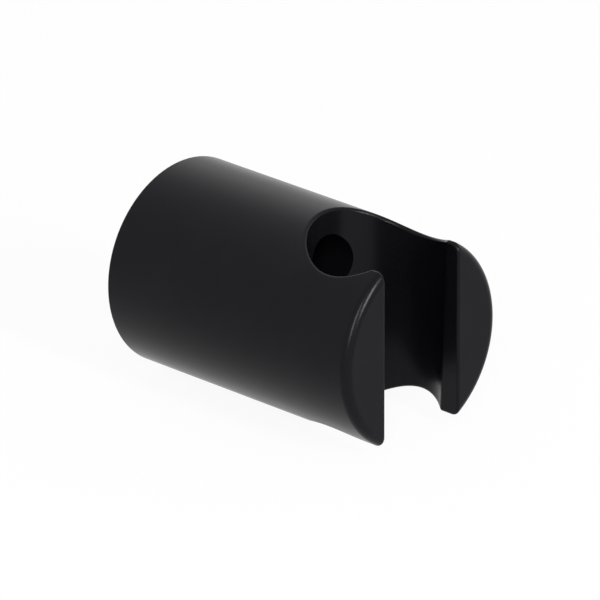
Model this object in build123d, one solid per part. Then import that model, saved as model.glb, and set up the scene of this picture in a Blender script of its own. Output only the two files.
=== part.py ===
from build123d import *
from math import radians, sqrt, tan
import os

# Wall holder for a hand shower, cast in one piece and coated matt black. The round body stands
# out from the wall along -Y, with its wall face at y = 0 and Z up. The hose nut drops into the
# upright tapered socket near the front, and the hose goes in and out through the open slot.

# Round body
body_diameter = 38.0
body_length = 58.8
front_edge_radius = 1.65
wall_edge_chamfer = 0.3

# Socket and slot
socket_diameter = 23.5  # at the height of the body's axis
socket_slope_deg = 1.5  # on each side, wider upward
slot_width = 18.3
lug_flat_length = 1.2  # straight side of the slot at the top, behind the rounded front edge
lip_radius = 0.8  # upright edges where the socket meets the slot
rim_radius = 0.5  # edges of the socket and the slot on the outside of the body

# Fixing screws, one above the other
screw_spacing = 18.2
screw_passage_diameter = 10.6  # takes the head and the driver
screw_hole_diameter = 5.5
screw_seat_thickness = 5.0  # under the head, up to the wall face

# Back, cored from the wall side
outer_wall = 3.0
socket_wall = 3.0  # left between the hollows and the socket
column_wall = 2.0  # at each side of the screw passages
hollow_corner_radius = 1.2

# Derived places and sizes
body_radius = body_diameter / 2
slot_top = sqrt(body_radius**2 - (slot_width / 2) ** 2)
slope = tan(radians(socket_slope_deg))
socket_radius = socket_diameter / 2
socket_top_radius = socket_radius + slope * slot_top
lip_setback = sqrt(socket_top_radius**2 - (slot_width / 2) ** 2)
socket_reach = body_length - front_edge_radius - lug_flat_length - lip_setback
socket_back = socket_reach - socket_radius - slope * body_radius
cutter_half_height = body_radius + 2.0
column_width = screw_passage_diameter + 2 * column_wall
screw_heights = (screw_spacing / 2, -screw_spacing / 2)


def barrel():
    """Solid round body, turned about the Y axis from half its section."""
    section = Pos(body_radius / 2, -body_length / 2) * Rectangle(body_radius, body_length)
    front_corner = section.vertices().group_by(Axis.Y)[0].sort_by(Axis.X)[-1]
    section = fillet(front_corner, front_edge_radius)
    wall_corner = section.vertices().group_by(Axis.Y)[-1].sort_by(Axis.X)[-1]
    section = chamfer(wall_corner, wall_edge_chamfer)
    return revolve(section, Axis.Y)


def hose_space():
    """Tapered socket and the slot in front of it, as one shape to cut away."""
    socket = Cone(
        socket_radius - slope * cutter_half_height,
        socket_radius + slope * cutter_half_height,
        2 * cutter_half_height,
    )
    slot = Box(
        slot_width,
        body_length - socket_reach + rim_radius,
        2 * cutter_half_height,
        align=(Align.CENTER, Align.MAX, Align.CENTER),
    )
    space = socket + slot
    lips = space.edges().filter_by(GeomType.HYPERBOLA)
    return Pos(0, -socket_reach, 0) * fillet(lips, lip_radius)


def back_hollows():
    """Hollow on each side of the column that holds both screw passages, open to the wall."""
    sides = Circle(body_radius - outer_wall) - Rectangle(column_width, body_diameter)
    sides = fillet(sides.vertices(), hollow_corner_radius)
    return extrude(Plane.XZ * sides, socket_back - socket_wall)


def screw_ways():
    """Passages from the socket to the flat screw seats, with smaller holes on to the wall."""
    ways = []
    for height in screw_heights:
        hole = extrude(Plane.XZ * Circle(screw_hole_diameter / 2), screw_seat_thickness)
        passage = extrude(
            Plane.XZ.offset(screw_seat_thickness) * Circle(screw_passage_diameter / 2),
            socket_reach - screw_seat_thickness,
        )
        ways += [Pos(0, 0, height) * (hole + passage)]
    return ways


round_body = barrel()
space = hose_space()
holder = round_body - space
holder = fillet(new_edges(round_body, space, combined=holder), rim_radius)
holder -= back_hollows()
for way in screw_ways():
    holder -= way

holder.label = "holder_body"
os.makedirs("parts", exist_ok=True)
export_step(holder, "parts/holder_body.step")
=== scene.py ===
from math import cos, radians, sin

import bpy
from mathutils import Matrix, Vector


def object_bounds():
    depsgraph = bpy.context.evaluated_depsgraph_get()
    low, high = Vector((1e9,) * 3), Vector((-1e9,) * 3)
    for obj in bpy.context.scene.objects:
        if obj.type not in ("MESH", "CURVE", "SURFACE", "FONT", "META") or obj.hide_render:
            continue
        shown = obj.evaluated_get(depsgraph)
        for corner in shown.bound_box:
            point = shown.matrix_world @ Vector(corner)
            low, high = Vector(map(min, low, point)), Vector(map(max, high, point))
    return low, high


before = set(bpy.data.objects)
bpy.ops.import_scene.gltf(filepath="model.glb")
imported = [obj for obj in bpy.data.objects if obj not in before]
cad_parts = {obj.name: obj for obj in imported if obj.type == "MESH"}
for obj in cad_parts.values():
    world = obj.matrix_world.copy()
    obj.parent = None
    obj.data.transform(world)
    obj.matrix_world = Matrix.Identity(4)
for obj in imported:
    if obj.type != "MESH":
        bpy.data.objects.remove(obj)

CAD_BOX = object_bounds()

# Camera, as the photograph was taken
PICTURE_PIXELS = 600
SENSOR_WIDTH = 36.0  # mm, across the whole picture
CAMERA_AZIMUTH = -45.66  # degrees, as are all the directions below
CAMERA_ELEVATION = 22.21
CAMERA_ROLL = -0.2
CAMERA_DISTANCE = 1.4152
FOCAL_LENGTH_PIXELS = 7928
AIM_ASIDE = 0.02090  # from the middle of the wall face to the middle of the picture
AIM_ABOVE = -0.00738
CAMERA_REACH = (0.1, 50)  # nearest and farthest that it sees

# Stage and light
FLOOR_SIZE = 12.0
FLOOR_GAP = 0.00002
FLOOR_COLOUR = (0.9, 0.9, 0.9, 1)
FLOOR_WHITE_SHARE = 0.93  # the rest shows the object's shadow
WHITE = (1, 1, 1, 1)
WHITE_STRENGTH = 1.0  # shows as plain white
SURROUND_LIGHT = 0.5  # what the white surround gives to matt surfaces
SOFTBOXES = {  # azimuth, elevation, distance, width, height, watts
    "strip_front": (-10, 26, 1.2, 0.18, 0.55, 12.0),
    "strip_left": (-51, 24, 1.7, 0.20, 0.90, 14.0),
    "softbox_behind": (150, 30, 1.2, 1.0, 0.5, 0.5),
}

# Matt black coating
BLACK_THIN = (0.0036, 0.0033, 0.0042, 1)
BLACK_THICK = (0.0029, 0.0027, 0.0034, 1)
COATING_SPECULAR = 0.115  # below a real lacquer's, to suit the white surround on all sides
COATING_TINT = (0.95, 0.92, 1.0, 1)
COATING_ROUGHNESS = (0.24, 0.26)
FILM_SCALE = 140.0  # slow changes of the film, about 7 mm apart
FILM_DETAIL = 3.0
GRAIN_SCALE = 5200.0  # fine grain, about 0.2 mm apart
GRAIN_DETAIL = 2.0
GRAIN_DEPTH = 0.000004
GRAIN_STRENGTH = 0.25
NOISE_RANGE = (0.35, 0.65)  # where most values of a noise lie


def facing(azimuth, elevation, roll=0.0):
    """Directions right, up and back of a camera that looks at the object from there."""
    right = Vector((cos(azimuth), sin(azimuth), 0))
    back = Vector((sin(azimuth) * cos(elevation), -cos(azimuth) * cos(elevation), sin(elevation)))
    up = back.cross(right)
    return cos(roll) * right + sin(roll) * up, cos(roll) * up - sin(roll) * right, back


def turned_to(right, up, back, place):
    """Matrix of an object with its own X, Y and Z along those directions."""
    matrix = Matrix((right, up, back)).transposed().to_4x4()
    matrix.translation = place
    return matrix


def place_camera():
    right, up, back = facing(radians(CAMERA_AZIMUTH), radians(CAMERA_ELEVATION), radians(CAMERA_ROLL))
    camera = bpy.data.objects.new("camera", bpy.data.cameras.new("camera"))
    camera.data.sensor_width = SENSOR_WIDTH
    camera.data.lens = FOCAL_LENGTH_PIXELS / PICTURE_PIXELS * SENSOR_WIDTH
    camera.data.clip_start, camera.data.clip_end = CAMERA_REACH
    place = AIM_ASIDE * right + AIM_ABOVE * up + CAMERA_DISTANCE * back
    camera.matrix_world = turned_to(right, up, back, place)
    bpy.context.scene.collection.objects.link(camera)
    bpy.context.scene.camera = camera


def fresh_nodes(owner):
    """The emptied node tree of a material or a world."""
    owner.use_nodes = True
    owner.node_tree.nodes.clear()
    return owner.node_tree


def seen_directly(tree):
    """1 for what the camera sees, straight or in gloss and glass, and 0 for matt light."""
    path = tree.nodes.new("ShaderNodeLightPath")
    total = path.outputs["Is Camera Ray"]
    for name in ("Is Glossy Ray", "Is Transmission Ray"):
        add = tree.nodes.new("ShaderNodeMath")
        add.operation = "ADD"
        add.use_clamp = True
        tree.links.new(total, add.inputs[0])
        tree.links.new(path.outputs[name], add.inputs[1])
        total = add.outputs[0]
    return total


def white_surround():
    world = bpy.data.worlds.new("white_surround")
    bpy.context.scene.world = world
    tree = fresh_nodes(world)
    light = tree.nodes.new("ShaderNodeBackground")
    light.inputs["Color"].default_value = WHITE
    light.inputs["Strength"].default_value = SURROUND_LIGHT
    shown = tree.nodes.new("ShaderNodeBackground")
    shown.inputs["Color"].default_value = WHITE
    shown.inputs["Strength"].default_value = WHITE_STRENGTH
    mix = tree.nodes.new("ShaderNodeMixShader")
    out = tree.nodes.new("ShaderNodeOutputWorld")
    tree.links.new(seen_directly(tree), mix.inputs["Fac"])
    tree.links.new(light.outputs[0], mix.inputs[1])
    tree.links.new(shown.outputs[0], mix.inputs[2])
    tree.links.new(mix.outputs[0], out.inputs["Surface"])


def floor_material():
    """Pale matt floor, lifted to white where it is seen, with the shadow kept."""
    material = bpy.data.materials.new("pale_floor")
    tree = fresh_nodes(material)
    matt = tree.nodes.new("ShaderNodeBsdfDiffuse")
    matt.inputs["Color"].default_value = FLOOR_COLOUR
    white = tree.nodes.new("ShaderNodeEmission")
    white.inputs["Color"].default_value = WHITE
    white.inputs["Strength"].default_value = WHITE_STRENGTH
    share = tree.nodes.new("ShaderNodeMath")
    share.operation = "MULTIPLY"
    share.inputs[1].default_value = FLOOR_WHITE_SHARE
    lifted = tree.nodes.new("ShaderNodeMixShader")
    clear = tree.nodes.new("ShaderNodeBsdfTransparent")
    side = tree.nodes.new("ShaderNodeNewGeometry")
    one_sided = tree.nodes.new("ShaderNodeMixShader")
    out = tree.nodes.new("ShaderNodeOutputMaterial")
    tree.links.new(seen_directly(tree), share.inputs[0])
    tree.links.new(share.outputs[0], lifted.inputs["Fac"])
    tree.links.new(matt.outputs[0], lifted.inputs[1])
    tree.links.new(white.outputs[0], lifted.inputs[2])
    tree.links.new(side.outputs["Backfacing"], one_sided.inputs["Fac"])
    tree.links.new(lifted.outputs[0], one_sided.inputs[1])
    tree.links.new(clear.outputs[0], one_sided.inputs[2])
    tree.links.new(one_sided.outputs[0], out.inputs["Surface"])
    return material


def lay_floor():
    bpy.ops.mesh.primitive_plane_add(size=FLOOR_SIZE, location=(0, 0, CAD_BOX[0].z - FLOOR_GAP))
    floor = bpy.context.object
    floor.name = "floor"
    floor.data.materials.append(floor_material())


def softbox(name, azimuth, elevation, distance, width, height, watts):
    """Rectangular lamp that faces the middle of the object from that direction."""
    lamp = bpy.data.lights.new(name, "AREA")
    lamp.shape = "RECTANGLE"
    lamp.size, lamp.size_y = width, height
    lamp.energy = watts
    holder = bpy.data.objects.new(name, lamp)
    right, up, back = facing(radians(azimuth), radians(elevation))
    middle = (CAD_BOX[0] + CAD_BOX[1]) / 2
    holder.matrix_world = turned_to(right, up, back, middle + distance * back)
    bpy.context.scene.collection.objects.link(holder)


def noise(tree, scale, detail):
    """Even noise through the holder, from 0 to 1."""
    place = tree.nodes.new("ShaderNodeTexCoord")
    texture = tree.nodes.new("ShaderNodeTexNoise")
    texture.inputs["Scale"].default_value = scale
    texture.inputs["Detail"].default_value = detail
    tree.links.new(place.outputs["Object"], texture.inputs["Vector"])
    return texture.outputs["Fac"]


def spread(tree, amount, low, high):
    """Noise from its usual range to low and high."""
    steps = tree.nodes.new("ShaderNodeMapRange")
    steps.inputs["From Min"].default_value, steps.inputs["From Max"].default_value = NOISE_RANGE
    steps.inputs["To Min"].default_value = low
    steps.inputs["To Max"].default_value = high
    tree.links.new(amount, steps.inputs["Value"])
    return steps.outputs["Result"]


def coating_material():
    """Matt black coating over cast metal, with an uneven film and a fine grain."""
    material = bpy.data.materials.new("matt_black_coating")
    tree = fresh_nodes(material)
    shader = tree.nodes.new("ShaderNodeBsdfPrincipled")
    shader.inputs["Specular IOR Level"].default_value = COATING_SPECULAR
    shader.inputs["Specular Tint"].default_value = COATING_TINT

    film = noise(tree, FILM_SCALE, FILM_DETAIL)
    colour = tree.nodes.new("ShaderNodeMix")
    colour.data_type = "RGBA"
    colour.inputs["A"].default_value = BLACK_THIN
    colour.inputs["B"].default_value = BLACK_THICK
    tree.links.new(spread(tree, film, 0.0, 1.0), colour.inputs["Factor"])
    tree.links.new(colour.outputs["Result"], shader.inputs["Base Color"])
    tree.links.new(spread(tree, film, *COATING_ROUGHNESS), shader.inputs["Roughness"])

    grain = tree.nodes.new("ShaderNodeBump")
    grain.inputs["Strength"].default_value = GRAIN_STRENGTH
    grain.inputs["Distance"].default_value = GRAIN_DEPTH
    tree.links.new(noise(tree, GRAIN_SCALE, GRAIN_DETAIL), grain.inputs["Height"])
    tree.links.new(grain.outputs["Normal"], shader.inputs["Normal"])

    out = tree.nodes.new("ShaderNodeOutputMaterial")
    tree.links.new(shader.outputs[0], out.inputs["Surface"])
    return material


place_camera()
white_surround()
lay_floor()
for name, values in SOFTBOXES.items():
    softbox(name, *values)

coating = coating_material()
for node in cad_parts.values():
    node.data.materials.clear()
    node.data.materials.append(coating)

bpy.context.scene.view_settings.view_transform = "Standard"
